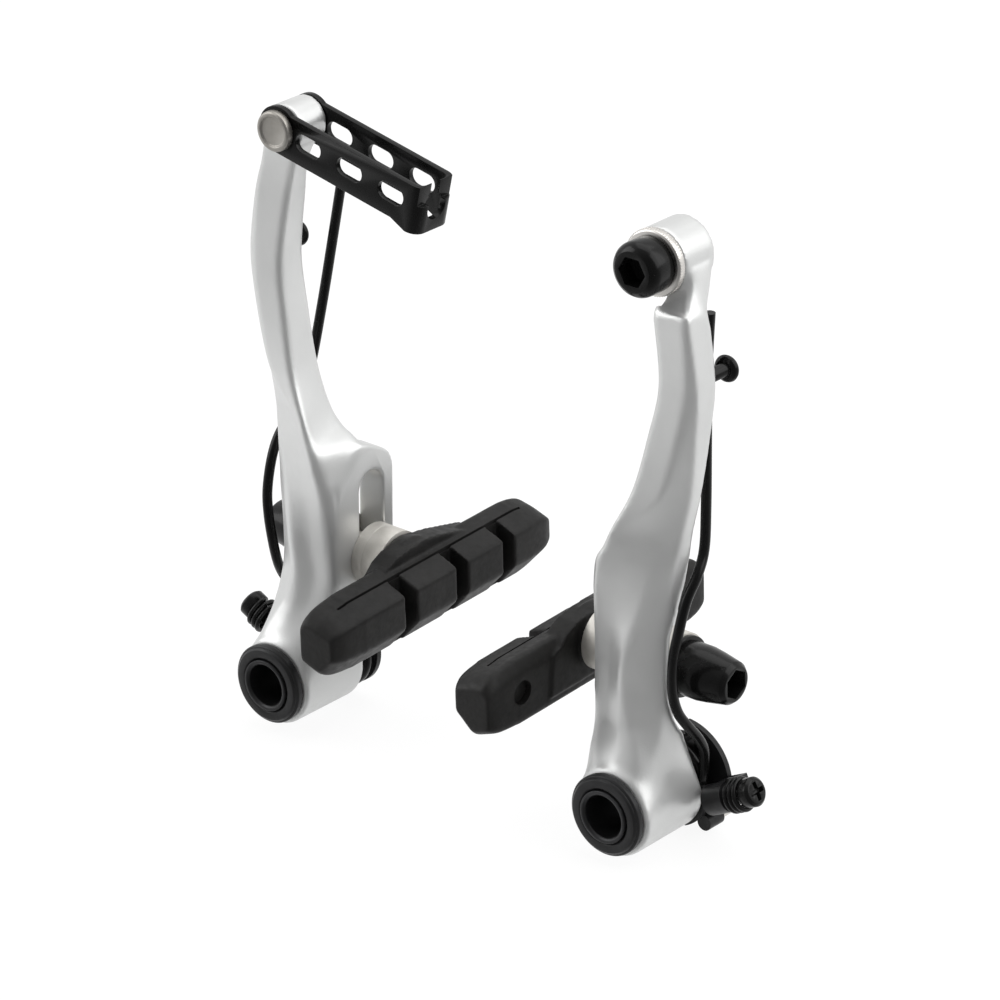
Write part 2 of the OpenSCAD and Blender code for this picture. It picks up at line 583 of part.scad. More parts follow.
module link_pin() {
    head_t = 1.5;
    head = 7.5;
    back_y = link_front_y + link_w;
    color("silver") translate([-boss_spacing / 2 + boss_x, 0, arm_length]) {
        bar_y(link_pin_d, link_front_y - 0.1, back_y + 0.1, 48);
        translate([0, link_front_y, 0]) rotate([90, 0, 0]) rotate_extrude($fn = 48)
            polygon([[0, 0], [head / 2, 0], [head / 2, head_t - 0.3], [head / 2 - 0.3, head_t],
                     [head / 2 - 0.9, head_t], [head / 2 - 1.1, head_t - 0.35], [0, head_t - 0.35]]);
        translate([0, back_y, 0]) rotate([-90, 0, 0]) cylinder(d = 6.4, h = 0.8, $fn = 48);
    }
}

// Cable anchor on the right arm
anchor_washer_d = 12;
module anchor_place() {
    translate([boss_spacing / 2 - boss_x, anchor_boss_front_y, anchor_height]) children();
}
module anchor_washer() {
    color("silver") anchor_place() difference() {
        rotate([90, 0, 0]) rotate_extrude($fn = 64)
            polygon([[0, 0], [anchor_washer_d / 2 - 0.3, 0], [anchor_washer_d / 2, 0.3],
                     [anchor_washer_d / 2, anchor_washer_t - 0.3],
                     [anchor_washer_d / 2 - 0.3, anchor_washer_t], [0, anchor_washer_t]]);
        bar_y(anchor_d + 2 * fit, -10, 10);
    }
}
module anchor_bolt() {
    hex_w = 5;
    color("black") anchor_place() difference() {
        union() {
            bar_y(anchor_d, -anchor_washer_t - 1, anchor_boss_len - 0.6, 48);
            translate([0, -anchor_washer_t, 0]) rotate([90, 0, 0]) rotate_extrude($fn = 64)
                polygon([[0, 0], [anchor_head_d / 2 - 0.3, 0], [anchor_head_d / 2, 0.3],
                         [anchor_head_d / 2, anchor_head_h - 1.8],
                         [anchor_head_d / 2 - 0.1, anchor_head_h - 1.3],
                         [anchor_head_d / 2 - 0.5, anchor_head_h - 0.6],
                         [anchor_head_d / 2 - 1.3, anchor_head_h], [0, anchor_head_h]]);
        }
        translate([0, -anchor_washer_t - anchor_head_h - cut, 0]) rotate([-90, 0, 0])
            cylinder(d = hex_w / cos(30), h = 3.4 + cut, $fn = 6);
    }
}

left_arm();
left_side() bush();  // left_bush
left_side() front_ring();  // left_front_ring
left_side() spring_holder();  // left_spring_holder
left_side() stopper_pin();  // left_stopper_pin
left_side() return_spring(leg_loose);  // left_return_spring
left_side() hook_pin();  // left_hook_pin
left_side() adjuster_screw();  // left_adjuster_screw
left_side() adjuster_coil();  // left_adjuster_coil
left_side() shoe_pad();  // left_shoe_pad
left_side() shoe_post();  // left_shoe_post
left_side() inner_dome();  // left_inner_dome
left_side() inner_cup();  // left_inner_cup
left_side() outer_dome();  // left_outer_dome
left_side() outer_cup();  // left_outer_cup
left_side() flat_washer();  // left_flat_washer
left_side() shoe_nut();  // left_shoe_nut
cable_link();
link_pin();
right_arm();
right_side() bush();  // right_bush
right_side() front_ring();  // right_front_ring
right_side() spring_holder();  // right_spring_holder
right_side() stopper_pin();  // right_stopper_pin
right_side() return_spring(leg_hooked);  // right_return_spring
right_side() hook_pin();  // right_hook_pin
right_side() adjuster_screw();  // right_adjuster_screw
right_side() adjuster_coil();  // right_adjuster_coil
right_side() shoe_pad();  // right_shoe_pad
right_side() shoe_post();  // right_shoe_post
right_side() inner_dome();  // right_inner_dome
right_side() inner_cup();  // right_inner_cup
right_side() outer_dome();  // right_outer_dome
right_side() outer_cup();  // right_outer_cup
right_side() flat_washer();  // right_flat_washer
right_side() shoe_nut();  // right_shoe_nut
anchor_washer();
anchor_bolt();
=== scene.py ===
"""Looks of the rim brake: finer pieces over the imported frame, finishes, light and camera.

Sizes are in millimetres until new_piece() and path_object() turn them into metres. Each side is
drawn as the left arm, with +X inwards from its own pivot, and SIDES maps it to the row frame.
"""

import math

import bmesh
import bpy
import numpy as np
from mathutils import Matrix, Vector


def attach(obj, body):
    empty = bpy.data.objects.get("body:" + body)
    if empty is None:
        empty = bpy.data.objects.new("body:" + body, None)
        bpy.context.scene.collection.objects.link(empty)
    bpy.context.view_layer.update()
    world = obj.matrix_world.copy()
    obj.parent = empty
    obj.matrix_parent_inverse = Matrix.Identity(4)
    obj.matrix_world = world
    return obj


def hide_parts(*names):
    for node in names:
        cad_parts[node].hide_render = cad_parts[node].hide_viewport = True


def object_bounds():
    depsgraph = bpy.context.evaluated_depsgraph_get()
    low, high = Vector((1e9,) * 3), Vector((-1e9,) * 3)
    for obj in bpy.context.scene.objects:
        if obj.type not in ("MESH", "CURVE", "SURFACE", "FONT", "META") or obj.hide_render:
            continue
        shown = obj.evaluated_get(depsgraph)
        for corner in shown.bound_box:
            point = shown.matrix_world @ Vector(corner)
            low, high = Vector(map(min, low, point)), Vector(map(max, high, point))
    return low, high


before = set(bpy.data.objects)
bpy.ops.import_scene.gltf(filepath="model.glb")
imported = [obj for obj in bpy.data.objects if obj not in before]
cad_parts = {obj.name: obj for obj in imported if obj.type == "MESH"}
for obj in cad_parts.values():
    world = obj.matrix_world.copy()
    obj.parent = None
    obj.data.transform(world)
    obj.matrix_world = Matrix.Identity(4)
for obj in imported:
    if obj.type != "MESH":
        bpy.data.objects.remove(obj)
CAD_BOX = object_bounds()

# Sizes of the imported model
SPACING = 80.0
HUB_BACK = -5.2
HUB_LEN = 16.4
HUB_FRONT = HUB_BACK - HUB_LEN
RING_BACK = HUB_FRONT - 0.2
RING_FRONT = RING_BACK - 2.0
HUB_R = 8.4
BUSH_R = 5.0
ARM_LENGTH = 107.0
ANCHOR_HEIGHT = 101.0
EAR_TOP = 42.5
EAR_FACE = 9.6
EAR_T = 6.0
EAR_OUTER = EAR_FACE - EAR_T
POST_Y = HUB_BACK + 0.8
SLOT_W = 6.4
POCKET_W = 12.8
INNER_POCKET_W = 11.6
SLOT_LOW = 15.6
SLOT_HIGH = 39.6
BOSS_X = -0.4
# Top boss of each arm: radius, length, front end and height
BOSS = {
    "left": (4.4, 6.9, RING_FRONT + 8, ARM_LENGTH),
    "right": (6.0, 8.0, RING_FRONT + 13, ANCHOR_HEIGHT),
}
# Height at which the boss's bore is cut. It belongs at the boss's own height, and this is a fault
BORE_Z = {"left": 9.5, "right": 95.0}
SHOE_HEIGHT = 23.0
SHOE_TILT = 2.5
WIRE_D = 1.9
COIL_R = 6.6
HOOK = (-9.2, RING_FRONT + 16, 81.0)
HOOK_BORE_R = 1.25
BOSS_BORE_R = 2.55
# Spot face round the cable anchor's boss
SPOT_R = 6.4
SPOT_LEN = 6.0
ADJUSTER = (-12.6, -6.0, 0.9)

SIDES = {
    "left": Matrix.Translation((-SPACING / 2, 0, 0)),
    "right": Matrix.Translation((SPACING / 2, 0, 0)) @ Matrix.Diagonal((-1, 1, 1, 1)),
}


# Mesh helpers


def settle(obj, angle=35):
    """Faces point outwards and edges sharper than the angle stay sharp."""
    mesh = obj.data
    bm = bmesh.new()
    bm.from_mesh(mesh)
    bmesh.ops.remove_doubles(bm, verts=bm.verts, dist=1e-7)
    bmesh.ops.recalc_face_normals(bm, faces=bm.faces)
    bm.to_mesh(mesh)
    bm.free()
    mesh.shade_smooth()
    mesh.set_sharp_from_angle(angle=math.radians(angle))
    return obj


def new_piece(name, verts, faces, place, angle=35):
    """An object from millimetre points, moved by place into the row frame."""
    mesh = bpy.data.meshes.new(name)
    mesh.from_pydata([(place @ Vector(v)) * 0.001 for v in verts], [], faces)
    obj = bpy.data.objects.new(name, mesh)
    bpy.context.scene.collection.objects.link(obj)
    return settle(obj, angle)


def lathe(name, profile, place, sides=96, angle=35):
    """A solid of revolution about Z. The profile is a closed loop of (radius, height), or an open
    line that starts and ends on the axis."""
    closed = profile[0][0] > 1e-6
    verts, faces = [], []
    for k in range(sides):
        a = 2 * math.pi * k / sides
        verts += [(r * math.cos(a), r * math.sin(a), h) for r, h in profile]
    n = len(profile)
    last = n if closed else n - 1
    for k in range(sides):
        for i in range(last):
            a, b = k * n + i, k * n + (i + 1) % n
            c, d = ((k + 1) % sides) * n + (i + 1) % n, ((k + 1) % sides) * n + i
            faces.append((a, b, c, d))
    return new_piece(name, verts, faces, place, angle)


def loft(name, rings, place, angle=35):
    """A solid through rings of points that all have the same count."""
    n = len(rings[0])
    verts = [p for ring in rings for p in ring]
    faces = [tuple(range(n)), tuple(reversed(range((len(rings) - 1) * n, len(rings) * n)))]
    for r in range(len(rings) - 1):
        for i in range(n):
            j = (i + 1) % n
            faces.append((r * n + i, r * n + j, (r + 1) * n + j, (r + 1) * n + i))
    return new_piece(name, verts, faces, place, angle)


def evaluated(obj):
    """Applies an object's modifiers to its mesh."""
    graph = bpy.context.evaluated_depsgraph_get()
    graph.update()
    mesh = bpy.data.meshes.new_from_object(obj.evaluated_get(graph))
    obj.modifiers.clear()
    obj.data = mesh
    return obj


def removed(*objs):
    """Takes helper objects out of the scene."""
    for o in objs:
        bpy.data.objects.remove(o, do_unlink=True)


def combined(obj, others, operation):
    """Joins the others to the object or cuts them from it, and removes them."""
    for other in others:
        m = obj.modifiers.new("cut", "BOOLEAN")
        m.operation = operation
        m.solver = "EXACT"
        m.object = other
    evaluated(obj)
    removed(*others)
    return obj


def softened(obj, voxel, rounds):
    """Gives forged or moulded edges: an even mesh whose edges are eased."""
    m = obj.modifiers.new("even", "REMESH")
    m.mode = "VOXEL"
    m.voxel_size = voxel * 0.001
    s = obj.modifiers.new("ease", "SMOOTH")
    s.factor = 0.5
    s.iterations = rounds
    evaluated(obj)
    return settle(obj, 60)


def eased(obj, centre, reach, rounds):
    """Smooths the surface near a millimetre point, less and less towards the reach."""
    mesh = obj.data
    spots = np.empty(len(mesh.vertices) * 3)
    mesh.vertices.foreach_get("co", spots)
    spots = spots.reshape(-1, 3)
    ends = np.empty(len(mesh.edges) * 2, int)
    mesh.edges.foreach_get("vertices", ends)
    ends = ends.reshape(-1, 2)
    away = np.linalg.norm(spots * 1000 - np.array(centre), axis=1)
    weight = np.clip(1.4 * (1 - away / reach), 0, 1)
    ends = ends[(weight[ends] > 0).any(axis=1)]
    near, index = np.unique(ends, return_inverse=True)
    a, b = index.reshape(-1, 2).T
    own, share = spots[near], 0.5 * weight[near][:, None]
    count = np.bincount(a, minlength=len(near)) + np.bincount(b, minlength=len(near))
    for _ in range(rounds):
        total = np.stack(
            [
                np.bincount(a, own[b, k], len(near)) + np.bincount(b, own[a, k], len(near))
                for k in range(3)
            ],
            axis=1,
        )
        own = own + share * (total / count[:, None] - own)
    spots[near] = own
    mesh.vertices.foreach_set("co", spots.ravel())
    mesh.update()


def bevelled(obj, width, segments=2, limit=30):
    """Breaks the edges that turn by more than the limit."""
    m = obj.modifiers.new("edge", "BEVEL")
    m.width = width * 0.001
    m.segments = segments
    m.limit_method = "ANGLE"
    m.angle_limit = math.radians(limit)
    evaluated(obj)
    return settle(obj, 40)


def refined_node(node, width, segments=2):
    """The node's own shape with its edges broken, as a piece that stands for it."""
    name = node + "_piece"
    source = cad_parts[node]
    mesh = source.data.copy()
    mesh.name = name
    bm = bmesh.new()
    bm.from_mesh(mesh)
    bmesh.ops.remove_doubles(bm, verts=bm.verts, dist=2e-6)
    bmesh.ops.dissolve_limit(
        bm, angle_limit=math.radians(0.5), verts=bm.verts, edges=bm.edges
    )
    bm.to_mesh(mesh)
    bm.free()
    obj = bpy.data.objects.new(name, mesh)
    bpy.context.scene.collection.objects.link(obj)
    return bevelled(obj, width, segments)


def dressed(obj, body, material, slot, *nodes):
    """Finish, body and CAD nodes of a piece."""
    obj.data.materials.clear()
    obj.data.materials.append(material)
    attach(obj, body)
    if nodes:
        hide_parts(*nodes)
    return obj


def node_group(name, inputs):
    """A geometry node group with named inputs, its input and output nodes, and its links."""
    group = bpy.data.node_groups.new(name, "GeometryNodeTree")
    for label, kind in inputs:
        group.interface.new_socket(label, in_out="INPUT", socket_type="NodeSocket" + kind)
    group.interface.new_socket("Geometry", in_out="OUTPUT", socket_type="NodeSocketGeometry")
    return (
        group,
        group.nodes.new("NodeGroupInput").outputs,
        group.nodes.new("NodeGroupOutput").inputs,
        group.links,
    )


def swept_wire_group():
    """Sweeps a round section along the edges of a path mesh."""
    group, given, made, links = node_group(
        "swept_wire",
        [("Path", "Geometry"), ("Radius", "Float"), ("Sides", "Int"), ("Finish", "Material")],
    )
    curve = group.nodes.new("GeometryNodeMeshToCurve")
    circle = group.nodes.new("GeometryNodeCurvePrimitiveCircle")
    sweep = group.nodes.new("GeometryNodeCurveToMesh")
    sweep.inputs["Fill Caps"].default_value = True
    paint = group.nodes.new("GeometryNodeSetMaterial")
    links.new(given["Path"], curve.inputs["Mesh"])
    links.new(given["Radius"], circle.inputs["Radius"])
    links.new(given["Sides"], circle.inputs["Resolution"])
    links.new(curve.outputs[0], sweep.inputs["Curve"])
    links.new(circle.outputs["Curve"], sweep.inputs["Profile Curve"])
    links.new(sweep.outputs[0], paint.inputs["Geometry"])
    links.new(given["Finish"], paint.inputs["Material"])
    links.new(paint.outputs[0], made["Geometry"])
    return group


def ring_of_ridges_group():
    """Stands ridges round a circle about Z and joins them to the given rim."""
    group, given, made, links = node_group(
        "ring_of_ridges",
        [
            ("Rim", "Geometry"),
            ("Count", "Int"),
            ("Radius", "Float"),
            ("Ridge Size", "Vector"),
            ("Finish", "Material"),
        ],
    )
    nodes = group.nodes
    circle = nodes.new("GeometryNodeMeshCircle")
    box = nodes.new("GeometryNodeMeshCube")
    stand = nodes.new("GeometryNodeInstanceOnPoints")
    spot = nodes.new("GeometryNodeInputPosition")
    turn = nodes.new("FunctionNodeAlignEulerToVector")
    real = nodes.new("GeometryNodeRealizeInstances")
    join = nodes.new("GeometryNodeJoinGeometry")
    paint = nodes.new("GeometryNodeSetMaterial")
    links.new(given["Count"], circle.inputs["Vertices"])
    links.new(given["Radius"], circle.inputs["Radius"])
    links.new(given["Ridge Size"], box.inputs["Size"])
    links.new(spot.outputs[0], turn.inputs["Vector"])
    links.new(circle.outputs["Mesh"], stand.inputs["Points"])
    links.new(box.outputs["Mesh"], stand.inputs["Instance"])
    links.new(turn.outputs["Rotation"], stand.inputs["Rotation"])
    links.new(stand.outputs[0], real.inputs["Geometry"])
    links.new(real.outputs[0], join.inputs["Geometry"])
    links.new(given["Rim"], join.inputs["Geometry"])
    links.new(join.outputs[0], paint.inputs["Geometry"])
    links.new(given["Finish"], paint.inputs["Material"])
    links.new(paint.outputs[0], made["Geometry"])
    return group


def grown(obj, group, angle, **values):
    """Runs a node group on an object with its named inputs and keeps the result as the mesh."""
    m = obj.modifiers.new(group.name, "NODES")
    m.node_group = group
    for item in group.interface.items_tree:
        key = item.name.lower().replace(" ", "_")
        if key in values:
            m[item.identifier] = values[key]
    evaluated(obj)
    return settle(obj, angle)


def path_object(name, points, place):
    """A mesh of edges through millimetre points."""
    mesh = bpy.data.meshes.new(name)
    spots = [(place @ Vector(p)) * 0.001 for p in points]
    mesh.from_pydata(spots, [(i, i + 1) for i in range(len(spots) - 1)], [])
    obj = bpy.data.objects.new(name, mesh)
    bpy.context.scene.collection.objects.link(obj)
    return obj


SWEPT_WIRE = swept_wire_group()


def wire(name, points, diameter, place, finish, sides=20):
    """A round wire through points."""
    obj = path_object(name, points, place)
    return grown(
        obj, SWEPT_WIRE, 50, radius=diameter * 0.0005, sides=sides, finish=finish
    )


# Materials

COAT_ROUGHNESS = 0.12


def node_tree(name):
    """A new material, its nodes, links and shader, and the piece's own coordinates."""
    material = bpy.data.materials.new(name)
    material.use_nodes = True
    nodes, links = material.node_tree.nodes, material.node_tree.links
    shader = nodes["Principled BSDF"]
    coords = nodes.new("ShaderNodeTexCoord")
    return material, nodes, links, shader, coords.outputs["Object"]


def noise(nodes, links, coords, scale, detail):
    """The value of a noise texture."""
    n = nodes.new("ShaderNodeTexNoise")
    n.inputs["Scale"].default_value = scale
    n.inputs["Detail"].default_value = detail
    links.new(coords, n.inputs["Vector"])
    return n.outputs["Fac"]


def ramp(nodes, links, value, low, high):
    """Blends from the low colour to the high one over the middle of the value's range."""
    r = nodes.new("ShaderNodeValToRGB")
    for element, place, colour in zip(r.color_ramp.elements, (0.3, 0.7), (low, high)):
        element.position = place
        element.color = (*colour, 1)
    links.new(value, r.inputs["Fac"])
    return r.outputs["Color"]


def bump(nodes, links, height, shader, strength, distance):
    """Gives the shader a relief from a height value."""
    b = nodes.new("ShaderNodeBump")
    b.inputs["Strength"].default_value = strength
    b.inputs["Distance"].default_value = distance
    links.new(height, b.inputs["Height"])
    links.new(b.outputs["Normal"], shader.inputs["Normal"])


def surface(
    name,
    low,
    high,
    metallic,
    rough,
    grain=2500,
    patch=60,
    height=0.15,
    distance=0.00005,
    specular=0.5,
    coat=0.0,
):
    """A finish with slow colour patches, a fine grain in its relief and uneven gloss."""
    material, nodes, links, shader, coords = node_tree(name)
    shader.inputs["Metallic"].default_value = metallic
    shader.inputs["Specular IOR Level"].default_value = specular
    if coat:
        shader.inputs["Coat Weight"].default_value = coat
        shader.inputs["Coat Roughness"].default_value = COAT_ROUGHNESS
    slow = noise(nodes, links, coords, patch, 4)
    links.new(ramp(nodes, links, slow, low, high), shader.inputs["Base Color"])
    middle = noise(nodes, links, coords, patch * 7, 3)
    spread = [(r,) * 3 for r in rough]
    links.new(ramp(nodes, links, middle, *spread), shader.inputs["Roughness"])
    fine = noise(nodes, links, coords, grain, 2)
    bump(nodes, links, fine, shader, height, distance)
    return material


def finishes():
    """Every finish by name. Patch and grain are counts per metre, distance is in metres."""
    return {
        "arm_metal": surface(
            "forged_silver", (0.60, 0.605, 0.60), (0.67, 0.675, 0.67), 0.65, (0.33, 0.41),
            grain=3000, patch=45, height=0.3,
        ),
        "bush_steel": surface(
            "dark_steel", (0.022, 0.022, 0.023), (0.05, 0.05, 0.052), 0.8, (0.34, 0.46),
            grain=1800, height=0.12,
        ),
        "black_plastic": surface(
            "black_plastic", (0.009, 0.009, 0.0095), (0.022, 0.022, 0.023), 0.0, (0.30, 0.46),
            grain=1500, patch=160, height=0.35, specular=0.25,
        ),
        "pin_steel": surface(
            "bright_zinc", (0.62, 0.60, 0.57), (0.74, 0.72, 0.70), 1.0, (0.22, 0.34),
            grain=1200, height=0.12,
        ),
        "grey_steel": surface(
            "grey_steel", (0.30, 0.285, 0.26), (0.40, 0.385, 0.36), 0.85, (0.36, 0.50),
            grain=1400, patch=260, height=0.3,
        ),
        "washer_steel": surface(
            "matt_zinc", (0.56, 0.54, 0.50), (0.68, 0.66, 0.62), 0.75, (0.50, 0.62),
            grain=1700, patch=220, height=0.4,
        ),
        "black_steel": surface(
            "black_plating", (0.003, 0.003, 0.003), (0.007, 0.007, 0.007), 0.0, (0.20, 0.30),
            grain=900, height=0.06, specular=0.12, coat=0.16,
        ),
        "link_black": surface(
            "black_coat", (0.003, 0.003, 0.003), (0.006, 0.006, 0.006), 0.0, (0.22, 0.32),
            grain=1100, height=0.25, specular=0.12, coat=0.14,
        ),
        "shoe_rubber": surface(
            "shoe_rubber", (0.007, 0.0068, 0.0066), (0.014, 0.0135, 0.013), 0.0, (0.42, 0.56),
            grain=1300, patch=110, height=0.35, distance=0.00008, specular=0.2,
        ),
    }


LOOK = finishes()


# Arms

# Sections of the arm: share of the height, then eight corners as (x, depth behind the front
# ring's face) in the order outer back, outer crease, two on the crest, flute, front edge, inner
# crease and inner back
ARM_ROWS = [
    [0.05, (-8.1, 18), (-8, 6.4), (-5.6, 2.4), (-1, 2.3),
     (2, 2.3), (6, 2.6), (8, 5), (7.6, 18)],
    [0.16, (-7.3, 17.6), (-7, 7), (-4.6, 3.2), (-1, 2.7),
     (2.2, 2.8), (5.8, 3.3), (8.6, 5.6), (7.6, 17)],
    [0.22, (-6.8, 17), (-6.2, 7.4), (-3.8, 4.1), (-0.2, 3.5),
     (2.8, 3.8), (6.4, 4.5), (9, 6.4), (7.6, 16)],
    [0.30, (-6.4, 15), (-5.5, 8.6), (-2, 5.4), (1, 5.1),
     (4, 5.9), (7.2, 6.6), (9.2, 7.6), (8.6, 14.6)],
    [0.38, (-6, 13), (-5, 9.6), (-0.2, 6.4), (1.7, 6.2),
     (4.8, 7.3), (8.1, 7.8), (9.5, 8.7), (9.5, 14)],
    [0.51, (-5.5, 11.9), (-4, 10), (1, 6.6), (2.1, 6.5),
     (5.2, 8), (8.3, 8.3), (9.5, 8.9), (9.6, 14)],
    [0.64, (-5.6, 11.8), (-3.9, 10), (0.6, 6.4), (1.7, 6.2),
     (4.6, 7.6), (8.3, 8), (9.5, 8.9), (9.6, 14)],
    [0.76, (-5.8, 11.9), (-4.2, 10), (-0.8, 7.2), (0.6, 6.8),
     (4.2, 7.5), (8.1, 7.6), (9.5, 8.7), (9.6, 15)],
    [0.86, (-6.6, 12.4), (-4.9, 10.4), (-2.3, 8.4), (-0.8, 7.7),
     (4, 7.5), (8, 7.1), (9.4, 8.5), (9.6, 16)],
    [0.95, (-6.8, 13.6), (-5.5, 10.9), (-3.6, 9.3), (-1.8, 8.3),
     (3.6, 7.3), (7.6, 6.4), (9, 7.8), (9.4, 17)],
    [1.04, (-7, 14.8), (-6, 11.2), (-5, 10.3), (-3, 9),
     (2.8, 7.2), (6.7, 5.8), (8, 7), (9.2, 18)],
    [1.09, (-7.3, 15.1), (-6.6, 11.6), (-5.6, 10.9), (-3.5, 9.8),
     (2.3, 7.3), (5.2, 6.1), (6.2, 6.9), (5.2, 17.2)],
    [1.15, (-7.6, 15.4), (-7.3, 12), (-6.3, 11.3), (-4.2, 10.2),
     (1.6, 7.5), (3.7, 6.4), (4.5, 7.1), (2.6, 16.6)],
    [1.27, (-8.9, 15.9), (-9, 12.2), (-8, 11.3), (-6.7, 9.9),
     (-5, 8.2), (0.3, 7.6), (1, 8.3), (0.5, 15.8)],
    [1.43, (-10.2, 16.2), (-10.5, 11.2), (-9.9, 10.6), (-9, 9.5),
     (-7.9, 8.6), (-2.1, 8.6), (-1.4, 9.3), (-1.6, 15.9)],
    [1.585, (-11, 16.4), (-11.2, 10.4), (-10.7, 10), (-10, 9.5),
     (-9.2, 9.2), (-3.7, 9.4), (-3, 10.1), (-3.4, 16.4)],
    [1.77, (-9.5, 16.4), (-9.5, 10.1), (-9.1, 9.8), (-8.7, 9.6),
     (-8.3, 9.5), (-2, 9.8), (-1.3, 10.6), (-2.3, 16.4)],
]
LINK_TOP = [
    [1.88, (-7.6, 14.9), (-7.4, 10), (-7.2, 9.7), (-7, 9.5),
     (-6.8, 9.4), (0, 9.4), (0.7, 10), (0, 14.8)],
    [1.97, (-5.4, 14.8), (-5.4, 8.9), (-5.3, 8.7), (-5.15, 8.6),
     (-5, 8.5), (2.4, 8.5), (2.9, 8.9), (2.6, 14.8)],
]
ANCHOR_TOP = [
    [1.80, (-8.8, 17.8), (-8.6, 11.8), (-8.4, 11.5), (-8.2, 11.3),
     (-8, 11.2), (-1.2, 11.2), (-0.6, 11.8), (-1.4, 17.6)],
    [1.85, (-7.8, 19.4), (-7.7, 13.8), (-7.5, 13.5), (-7.4, 13.3),
     (-7.2, 13.2), (2.2, 13.2), (2.6, 13.8), (2, 19.2)],
    [1.90, (-6.7, 20.4), (-6.7, 14.4), (-6.5, 14), (-6.3, 13.8),
     (-6.1, 13.7), (4.6, 13.7), (5, 14.2), (4.6, 20.2)],
]
# Radius of each corner
CORNER_R = [1.2, 0.8, 0.6, 0.6, 0.8, 0.8, 0.9, 1.2]
# Where the forging flows together: x, depth, height, reach and rounds of smoothing
ARM_FLOWS = [
    (9.0, 12.5, 43.5, 6.5, 60),
    (8.0, 6.0, 8.5, 7.5, 120),
    (9.0, 9.0, 14.0, 5.5, 60),
    (-7.0, 5.0, 5.0, 5.0, 90),
    (-7.5, 10.0, 6.5, 8.0, 100),
    (-7.5, 16.0, 6.0, 6.5, 120),
    (0.0, 4.0, 10.0, 6.0, 30),
    (7.0, 14.0, 9.5, 6.0, 50),
]
ANCHOR_FLOWS = [(-7.5, 16.5, 95.5, 5.5, 70), (-3.0, 12.2, 95.0, 4.2, 40)]


def smooth(a, b, c, d, t):
    """A curve through four values, at share t between the middle two."""
    return 0.5 * (
        2 * b
        + (c - a) * t
        + (2 * a - 5 * b + 4 * c - d) * t**2
        + (3 * b - a - 3 * c + d) * t**3
    )


def flowing(rows, steps):
    """Rows between the given ones."""
    rows = [np.array(r, float) for r in rows]
    out = []
    for i in range(len(rows) - 1):
        a, d = rows[max(0, i - 1)], rows[min(len(rows) - 1, i + 2)]
        out += [smooth(a, rows[i], rows[i + 1], d, s / steps) for s in range(steps)]
    return out + [rows[-1]]


def rounded(points, radii, steps=5):
    """A closed outline with every corner rounded."""
    out = []
    n = len(points)
    for j, p in enumerate(points):
        p, a, b = (np.array(q, float) for q in (p, points[j - 1], points[(j + 1) % n]))
        ta = min(0.45, radii[j] / max(np.linalg.norm(a - p), 0.01))
        tb = min(0.45, radii[j] / max(np.linalg.norm(b - p), 0.01))
        s, e = p + (a - p) * ta, p + (b - p) * tb
        for i in range(steps):
            k = i / (steps - 1)
            out.append(s * (1 - k) ** 2 + p * 2 * k * (1 - k) + e * k**2)
    return out


def height_at(share):
    """Height of a section: shares up to 1 span the ear, the rest the arm above it."""
    if share <= 1:
        return share * EAR_TOP
    return EAR_TOP + (share - 1) * (ARM_LENGTH - EAR_TOP)


def along_y(x, front, z):
    """Places a solid drawn along +Z so that it runs back along +Y from the front."""
    return Matrix.Translation((x, front, z)) @ Matrix.Rotation(math.radians(-90), 4, "X")


def along_x(x, y, z):
    """Places a solid drawn along +Z so that it runs inwards along +X."""
    return Matrix.Translation((x, y, z)) @ Matrix.Rotation(math.radians(90), 4, "Y")


def rod(r, length):
    """The lathe profile of a plain rod."""
    return [(0, 0), (r, 0), (r, length), (0, length)]


def prism_x(outline, x0, x1, place):
    """A (y, z) outline carried along X."""
    return loft("block", [[(x, y, z) for y, z in outline] for x in (x0, x1)], place)


def long_hole(width, z0, z1, x0, x1, place):
    """The cutter of a round-ended slot on the post's line, from z0 to z1."""
    r, steps = width / 2, 24
    outline = []
    for centre, start in ((z1 - r, 0), (z0 + r, 180)):
        for i in range(steps + 1):
            a = math.radians(start + 180 * i / steps)
            outline.append((POST_Y + r * math.cos(a), centre + r * math.sin(a)))
    return prism_x(outline, x0, x1, place)


def arm_blank(side, place):
    """The forged bar from the pivot to the top boss."""
    top = LINK_TOP if side == "left" else ANCHOR_TOP
    rows = [[r[0], *[v for p in r[1:] for v in p]] for r in ARM_ROWS + top]
    rings = []
    for row in flowing(rows, 8):
        outline = rounded([row[1 + 2 * i : 3 + 2 * i] for i in range(8)], CORNER_R)
        rings.append([(x, RING_FRONT + d, height_at(row[0])) for x, d in outline])
    return loft(side + "_arm_piece", rings, place)


def ear_plate(place):
    """The upright plate that carries the shoe."""
    front, back, t = RING_FRONT + 10.4, POST_Y + 6.1, EAR_TOP
    outline = [
        (front, 9), (HUB_BACK - 8, 7), (HUB_BACK - 0.6, 7.6), (back - 3.6, 10.6), (back - 1.4, 11.8),
        (back - 0.3, 13.4), (back, 15.4), (back, t - 4), (back - 0.3, t - 2.4), (back - 1.1, t - 0.8),
        (back - 2.4, t + 0.3), (back - 5, t + 1.6), (back - 8.6, t + 3.2), (front + 4.5, t + 2.4),
        (front, t - 3),
    ]
    return prism_x(outline, EAR_OUTER, EAR_FACE, place)


def pivot_hub(place):
    """The hub round the bush, with a broken front edge and a rounded rear one."""
    profile = [
        (0, 0), (HUB_R - 0.5, 0), (HUB_R - 0.15, 0.15), (HUB_R, 0.5), (HUB_R, HUB_LEN - 1.2),
        (HUB_R - 0.4, HUB_LEN - 0.4), (HUB_R - 1.2, HUB_LEN), (0, HUB_LEN),
    ]
    return lathe("hub", profile, place @ along_y(0, HUB_FRONT, 0), 128)


